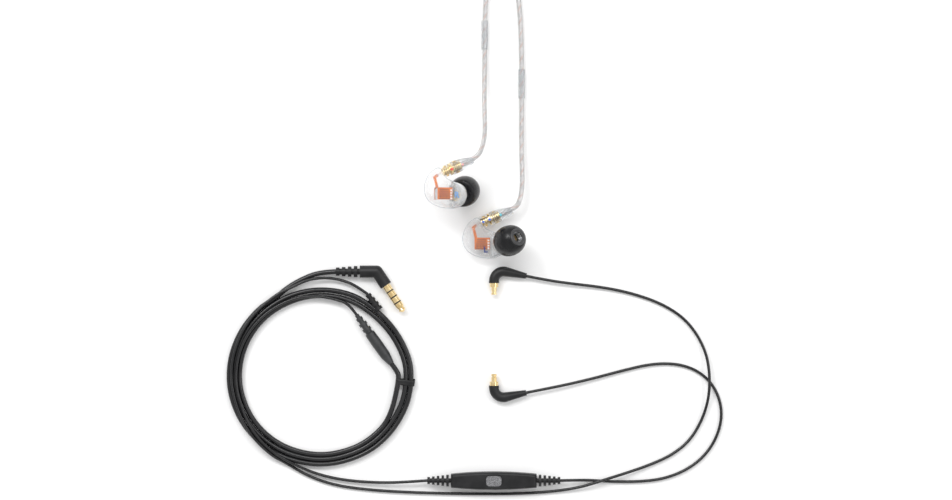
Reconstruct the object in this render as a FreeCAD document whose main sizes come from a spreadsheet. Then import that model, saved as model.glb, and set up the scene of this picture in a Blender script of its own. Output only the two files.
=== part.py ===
import FreeCAD, Part
import math
import os
import Sketcher

# A pair of in-ear monitors with their detachable clear cable, and the black phone cable of the set.
# Everything lies on a table at z = 0. +X is to the right, +Y is up the clear cable, +Z is up.
# Each earphone is worked out in its own frame: the seam of its housing is the plane z = 0, its outer
# face looks one way along z and its sound nozzle leaves the other. "facing" is the side of the nozzle.

Vector = FreeCAD.Vector
Rotation = FreeCAD.Rotation
Placement = FreeCAD.Placement
UP = Vector(0, 0, 1)

# Driving dimensions, millimetres and degrees. Each one becomes a cell of the sheet "Dims".
SIZES = {
    # housing
    "housing_half": 4.8, "dome_low": 1.8, "dome_high": 3.6,
    "cavity_low": 1.5, "cavity_high": 3.0, "cavity_half": 3.8,
    "neck_radius": 2.9, "neck_length": 5.7, "passage_radius": 1.5, "passage_length": 3.3,
    "jack_seat_radius": 1.77, "jack_seat_length": 8,
    "boss_low_radius": 3.7, "boss_top_radius": 2.75, "boss_height": 2.4,
    "nozzle_hole_radius": 1.93, "nozzle_hole_length": 8,
    "flange_seat_radius": 2.54, "flange_seat_length": 0.64,
    # drivers and flexible circuit
    "woofer_length": 7.0, "woofer_width": 5.2, "woofer_height": 2.7,
    "tweeter_length": 6.2, "tweeter_width": 4.4, "tweeter_height": 2.4, "can_round": 0.5,
    "flex_length": 6.8, "flex_width": 5.2, "flex_thick": 0.12, "flex_web": 3.2, "flex_depth": 5.89,
    "flex_tail_length": 4.9, "flex_tail_width": 1.2, "flex_hook_length": 2.3,
    # spring ring between the plug and the jack
    "ring_inner": 0.98, "ring_outer": 1.18, "ring_wide": 0.36, "ring_gap": 0.5,
    # clear cable
    "lead_diameter": 2.2, "trunk_diameter": 2.6,
    "sleeve_radius": 1.45, "sleeve_bore": 1.12, "sleeve_length": 12.8,
    "slider_length": 8, "slider_width": 8, "slider_height": 4, "slider_round": 1.2, "slider_bore": 1.15,
    "splitter_length": 16, "splitter_width": 9, "splitter_height": 5, "splitter_round": 1.6,
    "clear_coil_inner": 9, "clear_coil_outer": 19.4, "clear_coil_height": 9.2,
    "tie_thick": 0.7, "tie_width": 4,
    # phone cable
    "phone_trunk_diameter": 2.25, "phone_branch_diameter": 1.3,
    "phone_coil_inner": 33.4, "phone_coil_outer": 41.8, "phone_coil_height": 4.6,
    "elbow_radius": 2.7, "elbow_body_length": 7.5,
    "elbow_foot_length": 7.4,
    "boot_bend": 4.2, "boot_radius": 2.2, "boot_taper_end": 1.2, "boot_taper_length": 9.5,
    "boot_collar_radius": 2.3, "boot_collar_length": 1.0, "boot_turn": 102,
    "remote_half_length": 19, "remote_end_half": 2.95, "remote_middle_half": 3.95,
    "remote_half_height": 3.3, "remote_round": 1.3,
    "button_length": 6.8, "button_width": 4.6, "button_height": 1.4, "button_round": 1.6,
    "slot_length": 7.1, "slot_width": 4.9, "slot_depth": 2.5, "slot_floor": 1.4, "slot_round": 1.75,
    "board_length": 18, "board_width": 3.6, "board_thick": 0.8,
    "switch_length": 3, "switch_height": 0.9,
    # ribs of the strain reliefs: discs on a thin core
    "plug_rib_pitch": 2.65, "plug_rib_thick": 1.5, "plug_rib_core": 1.35, "plug_rib_first": 1.85,
    "plug_rib_last": 2.5,
    "remote_rib_pitch": 2.1, "remote_rib_thick": 1.1, "remote_rib_core": 1.0, "remote_rib_first": 1.6,
    "remote_rib_last": 2.6,
}

# Turned pieces: (radius, height) corners of half a section, turned about the z axis.
# Heights start at the end that faces the earphone or the ear's inside.
NOSE = 1.2
JACK_BORE = 1.25
COLLAR = 1.9
TURNED = {
    "mmcx_jack": [(0, 0), (1.75, 0), (1.75, 3.4), (2.6, 3.4), (2.6, 4.3), (JACK_BORE, 4.3),
                  (JACK_BORE, 0.5), (0.75, 0.5), (0.75, 2.9), (0.32, 2.9), (0.32, 0.4), (0, 0.4)],
    "mmcx_plug": [(0.85, 0), (NOSE, 0), (NOSE, 0.9), (0.94, 0.9), (0.94, 1.45), (NOSE, 1.45),
                  (NOSE, 3.4), (COLLAR, 3.4), (COLLAR, 7.5), (0, 7.5), (0, 2.8), (0.85, 2.8)],
    "plug_pin": [(0, 0), (0.15, 0), (0.27, 0.25), (0.27, 2.5), (0, 2.5)],
    "boot": [(1.92, 0), (2.9, 0), (3.0, 1.5), (2.7, 4.5), (1.9, 8.2), (1.45, 10.1), (1.22, 10.1),
             (1.22, 8.8), (1.12, 8.8), (1.12, 4.02), (1.92, 4.02)],
    "nozzle": [(1.4, 0), (2.5, 0), (2.5, 0.6), (1.9, 0.6), (1.9, 12.1), (1.4, 12.1)],
    "wax_screen": [(0, 0), (1.38, 0), (1.38, 0.4), (0, 0.4)],
    "sleeve_core": [(1.94, 0), (2.9, 0), (2.9, 11.3), (2.3, 11.3), (2.3, 7.9), (1.94, 7.9)],
    "sleeve_foam": [(2.92, 0), (5.5, 0), (6.3, 0.9), (6.75, 3.2), (6.8, 5.2), (6.5, 7.4), (5.7, 9.4),
                    (4.6, 10.9), (3.7, 11.6), (2.92, 11.6)],
    "clear_plug_body": [(0, 0), (3.4, 0), (3.7, 0.6), (3.7, 15), (3.2, 16), (2.4, 16.4), (1.7, 24), (0, 24)],
    "plug_contacts": [(0, 0), (1.75, 0), (1.75, 11.2), (1.25, 12.2), (1.6, 13.0), (0.5, 14.0), (0, 14.0)],
    "phone_mmcx": [(0, 0), (NOSE, 0), (NOSE, 0.9), (0.94, 0.9), (0.94, 1.45), (NOSE, 1.45),
                   (NOSE, 3.4), (COLLAR, 3.4), (COLLAR, 5.2), (0, 5.2)],
    "split": [(0, 0), (0.95, 0), (0.95, 1.6), (1.5, 1.6), (1.5, 3.0), (1.2, 3.0), (1.2, 4.4), (1.9, 4.4),
              (1.9, 5.8), (1.4, 5.8), (1.4, 7.2), (2.0, 7.2), (2.0, 8.6), (1.6, 8.6), (1.6, 9.6),
              (2.2, 10.2), (2.35, 15), (2.25, 22), (1.3, 26.5), (0, 26.5)],
    "branch_relief": [(0.67, 0), (1.3, 0), (1.3, 1.3), (1.0, 1.3), (1.0, 2.4), (1.6, 2.4), (1.6, 3.7),
                      (1.2, 3.7), (1.2, 4.8), (1.8, 4.8), (1.8, 6.1), (1.3, 6.1), (1.3, 7.2),
                      (1.9, 7.2), (1.9, 8.6), (0.67, 8.6)],
}

RIB_COUNTS = {"plug": 4, "remote": 5}

# The housing seen along z, before it is domed: points of one smooth closed line.
HOUSING_OUTLINE = [
    (-9.8, 1.9), (-8.4, -2.0), (-5.4, -4.5), (-0.4, -6.0), (4.8, -5.8), (8.3, -3.7), (9.4, 0.2),
    (7.9, 3.7), (4.0, 5.4), (0.6, 6.9), (-1.2, 9.6), (-3.4, 11.6), (-6.6, 9.8), (-8.9, 6.3),
]
DOME = [("", 1.0), ("dome_low", 0.97), ("dome_high", 0.86), ("housing_half", 0.66)]
CAVITY = [("", 0.87), ("cavity_low", 0.845), ("cavity_high", 0.75), ("cavity_half", 0.56)]

# Where things stand in an earphone's own frame.
JACK_START = Vector(-1.7, 9.5, 0)
CONNECTOR_ANGLE = 22
CONNECTOR = Vector(math.cos(math.radians(CONNECTOR_ANGLE)), math.sin(math.radians(CONNECTOR_ANGLE)), 0)
NOZZLE_BASE = Vector(6.8, -0.3, 3.6)
NOZZLE_TURN = Vector(0.55, 0.25, 0.797)
JACK_AT, NECK_AT, RING_AT, PIN_AT = 0.3, -2.0, 2.34, 1.7
NOSE_AT, BOOT_AT, LEAD_AT, BEND_AT = 1.4, 4.9, 8.95, 16.8
NOZZLE_AT, SCREEN_AT, SLEEVE_AT = -1.8, 9.6, 2.8

# The left earphone lies on its outer face. The right one is held up by its stiff lead, sleeve down.
EARPHONES = {
    "right": {"facing": -1, "place": Placement(Vector(-12.75, 5.9, 19.9), Rotation(Vector(0, 1, 0), 15))},
    "left": {"facing": 1, "place": Placement(Vector(4.35, -15.95, 4.8), Rotation())},
}

# Routes of the cords, in the table's frame, by hand. The two clear leads start inside their boots.
LEAD_ROUTES = {
    "right": [(3.4, 26.6, 14.7), (4.6, 34.0, 11.4), (4.2, 44.0, 7.0), (4.2, 55.0, 2.9), (4.4, 66.0, 1.45),
              (4.4, 88.0, 1.45), (5.6, 99.0, 1.5), (8.8, 108.5, 1.8), (11.2, 117.0, 2.0), (11.2, 141.0, 2.0)],
    "left": [(20.3, 4.4, 4.7), (21.2, 11.6, 4.2), (20.7, 25.0, 2.7), (20.8, 42.0, 1.45), (20.8, 66.0, 1.45),
             (20.3, 84.0, 1.45), (19.0, 97.0, 1.6), (16.6, 108.0, 1.8), (14.2, 117.0, 2.0), (14.2, 141.0, 2.0)],
}
SLEEVE_START = {"right": Vector(4.4, 70.7, 1.45), "left": Vector(20.8, 49.0, 1.45)}
SLIDER_START = Vector(12.7, 122.6, 0)
SPLITTER_START = Vector(12.7, 141.0, 0)
CLEAR_COIL_CENTRE = Vector(-5.4, 192.0, 0.8)
TRUNK_ROUTE = [(12.7, 157.0, 2.5), (12.7, 163.0, 2.5), (12.4, 171.0, 2.2), (12.4, 179.0, 2.1), (12.7, 187.0, 2.1)]
CLEAR_PLUG_LEAD_ROUTE = [(-23.5, 187.0, 6.5), (-23.4, 181.0, 5.0), (-23.5, 175.0, 3.7), (-23.5, 168.0, 3.7)]
CLEAR_PLUG_START = Vector(-23.5, 144.0, 3.7)

PHONE_COIL_CENTRE = Vector(-69.4, -74.5, 0.8)
PHONE_PLUG_TIP = Vector(-31.7, -45.9, 2.7)
PHONE_PIN_ANGLE = -56.3
SPLIT_START = Vector(-52.6, -47.3, 2.4)
SPLIT_END = Vector(-36.7, -69.6, 2.4)
RELIEF_START = Vector(-47.6, -38.2, 2.0)
RELIEF_END = Vector(-42.4, -45.3, 2.0)
REMOTE_CENTRE = Vector(8.4, -120.9, 3.3)
PHONE_BOOTS = {"upper": {"tip": Vector(8.5, -38.4, 2.3), "flip": -1},
               "lower": {"tip": Vector(8.5, -73.6, 2.3), "flip": 1}}
PHONE_ROUTES = {
    "phone_plug_lead": ("phone_trunk_diameter", [
        (-68.5, -28.4, 1.9), (-75.3, -30.7, 1.3), (-82.9, -34.8, 1.3), (-89.2, -40.2, 1.6)]),
    "phone_arc": ("phone_branch_diameter", [
        (-81.6, -35.2, 3.4), (-74.4, -31.6, 3.0), (-66.3, -30.7, 2.6), (-59.2, -31.8, 2.2), (-52.9, -34.3, 2.0),
        (-47.6, -38.2, 2.0)]),
    "phone_lead_remote": ("phone_branch_diameter", [
        (-80.0, -114.0, 2.2), (-70.8, -118.0, 1.6), (-60.6, -120.5, 1.3), (-50.5, -121.6, 1.6),
        (-40.0, -122.0, 2.2), (-30.4, -121.6, 2.9), (-21.1, -120.9, 3.3)]),
    "phone_lead_upper": ("phone_branch_diameter", [
        (-84.0, -113.2, 1.4), (-74.0, -119.3, 0.7), (-62.0, -123.3, 0.7), (-48.0, -125.2, 0.7),
        (-33.0, -126.2, 0.8), (-16.0, -126.8, 0.7), (2.0, -127.1, 0.8), (20.0, -127.0, 0.7),
        (36.0, -125.9, 0.8), (47.9, -123.8, 2.0), (57.5, -120.6, 3.3), (67.5, -117.6, 2.0), (77.5, -114.3, 0.9),
        (87.5, -109.9, 0.8), (95.5, -103.6, 0.7), (100.7, -95.0, 0.8), (103.4, -87.0, 1.6),
        (104.3, -80.0, 2.9), (104.2, -72.3, 2.9), (102.9, -64.6, 1.6), (99.4, -56.9, 0.8), (94.2, -50.0, 0.8),
        (87.2, -44.7, 0.8), (78.6, -40.6, 0.7), (67.6, -37.2, 0.8), (56.2, -35.0, 1.2), (44.2, -33.6, 1.8),
        (32.8, -32.1, 2.3)]),
    "phone_lead_lower": ("phone_branch_diameter", [
        (37.9, -120.9, 3.3), (44.6, -120.8, 2.6), (51.4, -120.9, 1.2), (61.0, -121.6, 0.8), (73.4, -121.6, 0.7),
        (84.0, -120.4, 0.7), (94.0, -116.6, 0.7), (102.4, -110.2, 0.7), (108.0, -101.4, 0.7),
        (110.2, -91.6, 0.7), (108.2, -82.4, 0.7), (103.4, -75.4, 0.7), (96.3, -70.8, 0.7), (87.6, -68.9, 0.7),
        (77.4, -69.4, 0.7), (65.6, -72.2, 0.8), (54.0, -75.3, 1.2), (43.0, -77.9, 1.8), (32.8, -80.0, 2.3)]),
}

doc = FreeCAD.newDocument("InEarMonitors")
sheet = doc.addObject("Spreadsheet::Sheet", "Dims")
nodes = []


def add_cells():
    cells = dict(SIZES)
    for piece, corners in TURNED.items():
        for number, (radius, height) in enumerate(corners, 1):
            if radius:
                cells[f"{piece}_radius_{number}"] = radius
            if height:
                cells[f"{piece}_height_{number}"] = height
    for row, (alias, value) in enumerate(cells.items(), 1):
        sheet.set(f"A{row}", alias)
        sheet.set(f"B{row}", str(value))
        sheet.setAlias(f"B{row}", alias)
    doc.recompute()


def bind(item, **properties):
    for name, alias in properties.items():
        item.setExpression(name, alias if "Dims." in alias else f"Dims.{alias}")


def keep(item, label, place=None):
    """Makes an object a sub-part: its label names its file."""
    item.Label = label
    if place is not None:
        item.Placement = place
    nodes.append(item)
    return item


def along(start, direction):
    """Placement that puts local z along a direction."""
    return Placement(start, Rotation(UP, direction))


def point_on(start, direction, distance):
    return start + Vector(direction).normalize() * distance


def mirrored(point, facing):
    return Vector(point.x, point.y, point.z * facing)


def origin_plane(body, role):
    return next(plane for plane in body.Origin.OriginFeatures if plane.Role == role)


def sketch_on(body, role, name):
    sketch = body.newObject("Sketcher::SketchObject", name)
    sketch.AttachmentSupport = [(origin_plane(body, role), "")]
    sketch.MapMode = "FlatFace"
    return sketch


def turned(name, piece):
    """A body of revolution about z, every corner held by two cells of the sheet."""
    body = doc.addObject("PartDesign::Body", name)
    sketch = sketch_on(body, "XZ_Plane", f"{name}_section")
    corners = TURNED[piece]
    count = len(corners)
    for number in range(count):
        start, end = corners[number], corners[(number + 1) % count]
        sketch.addGeometry(Part.LineSegment(Vector(*start, 0), Vector(*end, 0)), False)
    for number in range(count):
        sketch.addConstraint(Sketcher.Constraint("Coincident", (number - 1) % count, 2, number, 1))
    for number, (radius, height) in enumerate(corners):
        hold_corner(sketch, number, "DistanceX", radius, f"{piece}_radius_{number + 1}", -2)
        hold_corner(sketch, number, "DistanceY", height, f"{piece}_height_{number + 1}", -1)
    turn = body.newObject("PartDesign::Revolution", f"{name}_turn")
    turn.Profile = sketch
    turn.ReferenceAxis = (sketch, ["V_Axis"])
    turn.Angle = 360
    return body


def hold_corner(sketch, number, kind, value, alias, axis):
    if value:
        index = sketch.addConstraint(Sketcher.Constraint(kind, -1, 1, number, 1, value))
        sketch.setExpression(f"Constraints[{index}]", f"Dims.{alias}")
    else:
        sketch.addConstraint(Sketcher.Constraint("PointOnObject", number, 1, axis))


def cylinder(name, radius, height, place, angle=360):
    item = doc.addObject("Part::Cylinder", name)
    bind(item, Radius=radius, Height=height)
    item.Angle = angle
    item.Placement = place
    return item


def cone(name, start_radius, end_radius, height, place):
    item = doc.addObject("Part::Cone", name)
    bind(item, Radius1=start_radius, Radius2=end_radius, Height=height)
    item.Placement = place
    return item


def block(name, length, width, height, place):
    """A box with its low corner at its placement."""
    item = doc.addObject("Part::Box", name)
    bind(item, Length=length, Width=width, Height=height)
    item.Placement = place
    return item


def joined(name, items):
    item = doc.addObject("Part::MultiFuse", name)
    item.Shapes = items
    return item


def cut(name, base, tool):
    item = doc.addObject("Part::Cut", name)
    item.Base = base
    item.Tool = tool
    return item


def rounded(name, base, radius, pick):
    """Rounds the edges of a primitive that pick() accepts."""
    doc.recompute()
    item = doc.addObject("Part::Fillet", name)
    item.Base = base
    size = SIZES[radius]
    item.Edges = [(number, size, size) for number, edge in enumerate(base.Shape.Edges, 1) if pick(edge)]
    return item


def upright(edge):
    """True for an edge of a box that stands along its z."""
    start, end = edge.Vertexes[0].Point, edge.Vertexes[-1].Point
    return abs(end.z - start.z) > 0.5 * edge.Length


def outline_curve(scale):
    """The housing's outline, shrunk towards the middle of the housing."""
    curve = Part.BSplineCurve()
    curve.interpolate([Vector(x * scale, y * scale, 0) for x, y in HOUSING_OUTLINE], PeriodicFlag=True)
    return curve


def dome(body, name, kind, levels, side):
    """Lofts the outline from the seam up to the face through shrinking sections."""
    sections = []
    for number, (alias, scale) in enumerate(levels):
        sketch = sketch_on(body, "XY_Plane", f"{name}_{number}")
        if alias:
            sketch.setExpression("AttachmentOffset.Base.z", f"{side} * Dims.{alias}")
        sketch.addGeometry(outline_curve(scale), False)
        sections.append(sketch)
    doc.recompute()
    loft = body.newObject(kind, f"{name}_loft")
    loft.Profile = sections[0]
    loft.Sections = sections[1:]
    return loft


def half_housing(ear, half, side):
    """One hollow half of the housing, with its half of the connector's neck."""
    name = f"{ear}_{half}"
    body = doc.addObject("PartDesign::Body", f"{name}_dome")
    dome(body, f"{name}_skin", "PartDesign::AdditiveLoft", DOME, side)
    neck_turn = Rotation(Vector(0, 0, 1), CONNECTOR_ANGLE) * Rotation(Vector(0, 1, 0), 90)
    half_turn = Rotation(Vector(0, 0, 1), 90 if side > 0 else -90)
    neck = cylinder(f"{name}_neck", "neck_radius", "neck_length",
                    Placement(point_on(JACK_START, CONNECTOR, NECK_AT), neck_turn * half_turn), 180)
    hollow = doc.addObject("PartDesign::Body", f"{name}_hollow")
    dome(hollow, f"{name}_cavity", "PartDesign::AdditiveLoft", CAVITY, side)
    seat = cylinder(f"{name}_seat", "jack_seat_radius", "jack_seat_length",
                    along(point_on(JACK_START, CONNECTOR, JACK_AT - 0.02), CONNECTOR))
    passage = cylinder(f"{name}_passage", "passage_radius", "passage_length",
                       along(point_on(JACK_START, CONNECTOR, -3), CONNECTOR))
    return joined(f"{name}_solid", [body, neck]), [hollow, seat, passage]


def make_housing(ear, facing, place):
    solid, spaces = half_housing(ear, "outer_shell", -facing)
    keep(cut(f"{ear}_outer_cut", solid, joined(f"{ear}_outer_spaces", spaces)), f"{ear}_outer_shell", place)

    solid, spaces = half_housing(ear, "inner_shell", facing)
    base = mirrored(NOZZLE_BASE, facing)
    turn = mirrored(NOZZLE_TURN, facing)
    boss = cone(f"{ear}_boss", "boss_low_radius", "boss_top_radius", "boss_height",
                along(point_on(base, turn, -0.9), turn))
    hole = cylinder(f"{ear}_nozzle_hole", "nozzle_hole_radius", "nozzle_hole_length",
                    along(point_on(base, turn, -4), turn))
    flange = cylinder(f"{ear}_flange_seat", "flange_seat_radius", "flange_seat_length",
                      along(point_on(base, turn, NOZZLE_AT - 0.02), turn))
    bossed = joined(f"{ear}_inner_bossed", [solid, boss])
    keep(cut(f"{ear}_inner_cut", bossed, joined(f"{ear}_inner_spaces", spaces + [hole, flange])),
         f"{ear}_inner_shell", place)


def make_drivers(ear, facing, place):
    """Two balanced-armature cans back to back, wrapped by the flexible circuit."""
    woofer_low = -2.95 if facing > 0 else 0.25
    tweeter_low = 0.3 if facing > 0 else -2.7
    woofer = block(f"{ear}_woofer_can", "woofer_length", "woofer_width", "woofer_height",
                   Placement(Vector(-4.5, -2.4, woofer_low), Rotation()))
    keep(rounded(f"{ear}_woofer_round", woofer, "can_round", upright), f"{ear}_woofer", place)
    tweeter = block(f"{ear}_tweeter_can", "tweeter_length", "tweeter_width", "tweeter_height",
                    Placement(Vector(-4.3, -2.0, tweeter_low), Rotation()))
    keep(rounded(f"{ear}_tweeter_round", tweeter, "can_round", upright), f"{ear}_tweeter", place)

    thick = SIZES["flex_thick"]
    outer_low = -2.95 - thick if facing > 0 else 2.95
    inner_low = 2.7 if facing > 0 else -2.7 - thick
    web_low = min(outer_low, inner_low)
    flat = Rotation()
    tail_turn = Rotation(UP, 104)
    hook_turn = Rotation(UP, 36)
    pieces = [
        block(f"{ear}_flex_outer", "flex_length", "flex_width", "flex_thick",
              Placement(Vector(-4.5, -2.28, outer_low), flat)),
        block(f"{ear}_flex_inner", "flex_length", "flex_width", "flex_thick",
              Placement(Vector(-4.5, -2.28, inner_low), flat)),
        block(f"{ear}_flex_fold", "flex_web", "flex_thick", "flex_depth",
              Placement(Vector(-4.5, 2.82, web_low), flat)),
        block(f"{ear}_flex_tail", "flex_tail_length", "flex_tail_width", "flex_thick",
              Placement(Vector(-3.3, 2.86, 0), tail_turn)),
        block(f"{ear}_flex_hook", "flex_hook_length", "flex_tail_width", "flex_thick",
              Placement(Vector(-5.1, 6.6, 0), hook_turn)),
    ]
    keep(joined(f"{ear}_flex", pieces), f"{ear}_flex_circuit", place)


def make_snap_ring(ear, place):
    """A split ring in the groove of the plug's nose. It snaps behind the jack's lip."""
    wide = cylinder(f"{ear}_ring_out", "ring_outer", "ring_wide", Placement())
    narrow = cylinder(f"{ear}_ring_in", "ring_inner", "ring_wide", Placement())
    gap = block(f"{ear}_ring_gap", "ring_outer", "ring_gap", "ring_wide",
                Placement(Vector(0.3, -SIZES["ring_gap"] / 2, 0), Rotation()))
    ring = cut(f"{ear}_ring_cut", wide, joined(f"{ear}_ring_space", [narrow, gap]))
    keep(ring, f"{ear}_snap_ring", place * along(point_on(JACK_START, CONNECTOR, RING_AT), CONNECTOR))


def make_earphone(ear, facing, place):
    make_housing(ear, facing, place)
    make_drivers(ear, facing, place)
    make_snap_ring(ear, place)
    for piece, distance in {"mmcx_jack": JACK_AT, "plug_pin": PIN_AT, "mmcx_plug": NOSE_AT, "boot": BOOT_AT}.items():
        keep(turned(f"{ear}_{piece}", piece), f"{ear}_{piece}",
             place * along(point_on(JACK_START, CONNECTOR, distance), CONNECTOR))
    base = mirrored(NOZZLE_BASE, facing)
    turn = mirrored(NOZZLE_TURN, facing)
    for piece, distance in {"nozzle": NOZZLE_AT, "wax_screen": SCREEN_AT, "sleeve_core": SLEEVE_AT,
                            "sleeve_foam": SLEEVE_AT}.items():
        keep(turned(f"{ear}_{piece}", piece), f"{ear}_{piece}",
             place * along(point_on(base, turn, distance), turn))


def tube(label, diameter, points):
    """A round cord: straight runs joined by tangent arcs, each as large as its two runs allow."""
    radius = SIZES[diameter] / 2
    points = [Vector(*point) for point in points]
    edges = []
    tightest = None
    here = points[0]
    for before, corner, after in zip(points, points[1:], points[2:]):
        incoming = (corner - before).normalize()
        outgoing = (after - corner).normalize()
        half_turn = incoming.getAngle(outgoing) / 2
        reach = 0.45 * min((corner - before).Length, (after - corner).Length)
        start, end = corner - incoming * reach, corner + outgoing * reach
        bend = reach / math.tan(half_turn)
        to_middle = (outgoing - incoming).normalize()
        middle = corner + to_middle * (bend / math.cos(half_turn) - bend)
        edges.append(Part.LineSegment(here, start).toShape())
        edges.append(Part.Arc(start, middle, end).toShape())
        tightest = bend if tightest is None else min(tightest, bend)
        here = end
    edges.append(Part.LineSegment(here, points[-1]).toShape())
    path = Part.Wire(edges)
    section = Part.Wire(Part.makeCircle(radius, points[0], points[1] - points[0]))
    pipe = path.makePipeShell([section], True, False)
    expected = math.pi * radius**2 * path.Length
    print(f"{label}: length {path.Length:.1f}, tightest bend {tightest:.1f}, "
          f"volume {pipe.Volume / expected:.4f} of expected")
    item = doc.addObject("Part::Feature", label)
    item.Shape = pipe
    return keep(item, label)


def ring_of_turns(label, inner, outer, height, centre):
    """The outer shape of a wound cord."""
    wide = cylinder(f"{label}_out", outer, height, Placement(centre, Rotation()))
    narrow = cylinder(f"{label}_in", inner, height, Placement(centre, Rotation()))
    keep(cut(f"{label}_ring", wide, narrow), label)


def tie_round(label, inner, outer, height, centre, angle):
    """A strap round one place of a wound cord."""
    thick = SIZES["tie_thick"]
    wide = SIZES["tie_width"]
    turn = Rotation(UP, angle)
    shell = doc.addObject("Part::Box", f"{label}_out")
    bulge = wide**2 / (8 * SIZES[inner]) + 0.03
    shell.setExpression("Length", f"Dims.{outer} - Dims.{inner} + 2 * Dims.tie_thick + 0.1 + {bulge}")
    shell.setExpression("Height", f"Dims.{height} + 2 * Dims.tie_thick + 0.1")
    bind(shell, Width="tie_width")
    space = doc.addObject("Part::Box", f"{label}_in")
    space.setExpression("Length", f"Dims.{outer} - Dims.{inner} + 0.1 + {bulge}")
    space.setExpression("Height", f"Dims.{height} + 0.1")
    space.setExpression("Width", "Dims.tie_width + 2")
    low = SIZES[inner] - 0.05 - bulge
    shell.Placement = Placement(centre + turn.multVec(Vector(low - thick, -wide / 2, -thick - 0.05)), turn)
    space.Placement = Placement(centre + turn.multVec(Vector(low, -wide / 2 - 1, -0.05)), turn)
    keep(cut(f"{label}_strap", shell, space), label)


def make_clear_cable():
    for ear, data in EARPHONES.items():
        starts = [data["place"].multVec(point_on(JACK_START, CONNECTOR, d)) for d in (LEAD_AT, BEND_AT)]
        tube(f"{ear}_lead", "lead_diameter", [tuple(p) for p in starts] + LEAD_ROUTES[ear])
        line = along(SLEEVE_START[ear], Vector(0, 1, 0))
        wide = cylinder(f"{ear}_sleeve_out", "sleeve_radius", "sleeve_length", line)
        narrow = cylinder(f"{ear}_sleeve_in", "sleeve_bore", "sleeve_length", line)
        keep(cut(f"{ear}_sleeve", wide, narrow), f"{ear}_end_sleeve")

    half = Vector(-SIZES["slider_width"] / 2, 0, 0)
    slab = block("slider_slab", "slider_width", "slider_length", "slider_height",
                 Placement(SLIDER_START + half, Rotation()))
    smooth = rounded("slider_smooth", slab, "slider_round", upright)
    holes = [cylinder(f"slider_hole_{ear}", "slider_bore", "slider_length",
                      along(Vector(LEAD_ROUTES[ear][-1][0], SLIDER_START.y, 2.0), Vector(0, 1, 0)))
             for ear in EARPHONES]
    keep(cut("slider_cut", smooth, joined("slider_holes", holes)), "cinch_slider")

    half = Vector(-SIZES["splitter_width"] / 2, 0, 0)
    slab = block("splitter_slab", "splitter_width", "splitter_length", "splitter_height",
                 Placement(SPLITTER_START + half, Rotation()))
    keep(rounded("splitter_smooth", slab, "splitter_round", upright), "clear_splitter")

    tube("clear_trunk", "trunk_diameter", TRUNK_ROUTE)
    ring_of_turns("clear_coil", "clear_coil_inner", "clear_coil_outer", "clear_coil_height", CLEAR_COIL_CENTRE)
    tie_round("clear_coil_tie", "clear_coil_inner", "clear_coil_outer", "clear_coil_height", CLEAR_COIL_CENTRE, 90)
    tube("clear_plug_lead", "trunk_diameter", CLEAR_PLUG_LEAD_ROUTE)
    keep(turned("clear_plug_body", "clear_plug_body"), "clear_plug_body",
         along(CLEAR_PLUG_START, Vector(0, 1, 0)))
    keep(turned("clear_plug_contacts", "plug_contacts"), "clear_plug_contacts",
         along(CLEAR_PLUG_START, Vector(0, -1, 0)))


def ribs_length(kind):
    return RIB_COUNTS[kind] * SIZES[f"{kind}_rib_pitch"]


def ribs(name, kind, start, direction):
    """Discs that grow along a thin core, from the cord towards the moulding."""
    count = RIB_COUNTS[kind]
    cell = f"Dims.{kind}_rib"
    pieces = []
    for number in range(count):
        share = number / (count - 1)
        place = along(point_on(start, direction, number * SIZES[f"{kind}_rib_pitch"]), direction)
        radius = f"{cell}_first + ({cell}_last - {cell}_first) * {share}"
        pieces.append(cylinder(f"{name}_rib_{number + 1}", radius, f"{kind}_rib_thick", place))
    core = cylinder(f"{name}_core", f"{kind}_rib_core", f"{cell}_pitch * {count}", along(start, direction))
    return pieces + [core]


def phone_plug_points():
    """The angled plug's axis: cord end, start of the grip, elbow and the face that the contacts leave."""
    turn = math.radians(PHONE_PIN_ANGLE)
    pin_way = Vector(math.cos(turn), math.sin(turn), 0)
    base = point_on(PHONE_PLUG_TIP, pin_way, -14)
    elbow = point_on(base, pin_way, -SIZES["elbow_foot_length"])
    grip_start = elbow - Vector(SIZES["elbow_body_length"], 0, 0)
    cord_end = grip_start - Vector(ribs_length("plug"), 0, 0)
    return cord_end, grip_start, elbow, base, pin_way


def make_phone_plug():
    """Angled plug: ribbed relief, straight grip, elbow, and the contacts."""
    cord_end, grip_start, elbow, base, pin_way = phone_plug_points()
    x_way = Vector(1, 0, 0)
    pieces = ribs("phone_plug", "plug", cord_end, x_way)
    pieces.append(cylinder("phone_plug_grip", "elbow_radius", "elbow_body_length", along(grip_start, x_way)))
    pieces.append(cylinder("phone_plug_foot", "elbow_radius", "elbow_foot_length", along(elbow, pin_way)))
    knee = doc.addObject("Part::Sphere", "phone_plug_knee")
    bind(knee, Radius="elbow_radius")
    knee.Placement = Placement(elbow, Rotation())
    keep(joined("phone_plug_moulding", pieces + [knee]), "phone_plug_body")
    keep(turned("phone_plug_contacts", "plug_contacts"), "phone_plug_contacts", along(base, pin_way))


def phone_boot_points(tip, flip):
    """The bent boot's axis: back of the plug, start and middle of the bend, and the tapered tail."""
    back = tip - Vector(0, flip * TURNED["phone_mmcx"][-2][1], 0)
    bend_start = back - Vector(0, flip * SIZES["boot_collar_length"], 0)
    bend_centre = bend_start + Vector(SIZES["boot_bend"], 0, 0)
    lean = math.radians(SIZES["boot_turn"] - 90)
    tail_start = bend_centre + Vector(math.sin(lean), -flip * math.cos(lean), 0) * SIZES["boot_bend"]
    tail_way = Vector(math.cos(lean), flip * math.sin(lean), 0)
    tail_end = point_on(tail_start, tail_way, SIZES["boot_taper_length"])
    return bend_start, bend_centre, tail_start, tail_way, tail_end


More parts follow.
